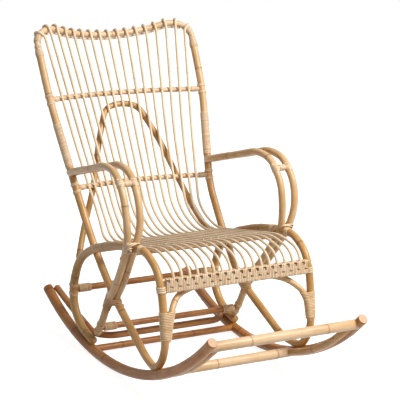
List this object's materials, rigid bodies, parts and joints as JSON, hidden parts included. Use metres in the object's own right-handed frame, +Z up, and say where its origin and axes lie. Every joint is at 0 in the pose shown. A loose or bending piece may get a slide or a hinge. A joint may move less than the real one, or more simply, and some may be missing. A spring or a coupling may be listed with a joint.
{
  "type": "rattan rocking chair",
  "caption": "Rocking chair of bent rattan poles on curved rockers, with cane slats from crest to seat front and cane bindings.",
  "frame": {"origin": "on the floor under the middle of the chair's outer box, with the chair at balance on its rockers", "axes": "Z up, X across the chair towards the sitter's left, Y towards the back; the sitter faces -Y"},
  "size_m": [0.6434, 1.199, 0.9615],
  "materials": {
    "rattan_pole": "satin lacquer",
    "peeled_cane": "peeled, satin",
    "binding_cane": "split cane, satin"
  },
  "bodies": {
    "root": {"rocker_left": "rattan_pole", "rocker_right": "rattan_pole", "rear_hoop_left": "rattan_pole", "rear_hoop_right": "rattan_pole", "side_loop_left": "rattan_pole", "side_loop_right": "rattan_pole", "upper_post_left": "rattan_pole", "upper_post_right": "rattan_pole", "arm_outer_left": "rattan_pole", "arm_outer_right": "rattan_pole", "arm_inner_left": "rattan_pole", "arm_inner_right": "rattan_pole", "arm_bridge_left": "rattan_pole", "arm_bridge_right": "rattan_pole", "crest_rail": "rattan_pole", "upper_back_bar": "rattan_pole", "lower_back_bar": "rattan_pole", "back_arch": "rattan_pole", "mid_seat_bar": "rattan_pole", "rear_seat_bar": "rattan_pole", "apron_arch": "rattan_pole", "front_upper_stretcher": "rattan_pole", "front_lower_stretcher": "rattan_pole", "front_brace_left": "rattan_pole", "front_brace_right": "rattan_pole", "rear_u_stretcher": "rattan_pole", "rear_lower_stretcher": "rattan_pole", "hoop_stretcher": "rattan_pole", "low_stretcher": "rattan_pole", "crest_rod": "peeled_cane", "band_top_rod": "peeled_cane", "band_bottom_rod": "peeled_cane", "slat_01": "peeled_cane", "slat_02": "peeled_cane", "slat_03": "peeled_cane", "slat_04": "peeled_cane", "slat_05": "peeled_cane", "slat_06": "peeled_cane", "slat_07": "peeled_cane", "slat_08": "peeled_cane", "slat_09": "peeled_cane", "slat_10": "peeled_cane", "slat_11": "peeled_cane", "slat_12": "peeled_cane", "slat_13": "peeled_cane", "slat_14": "peeled_cane", "slat_15": "peeled_cane", "slat_16": "peeled_cane", "slat_17": "peeled_cane", "front_band_weave": "binding_cane", "leg_lashing_left": "binding_cane", "leg_lashing_right": "binding_cane", "post_winding_left": "binding_cane", "post_winding_right": "binding_cane", "crest_corner_windings": "binding_cane", "back_bar_windings": "binding_cane", "stretcher_windings": "binding_cane"}
  },
  "joints": []
}
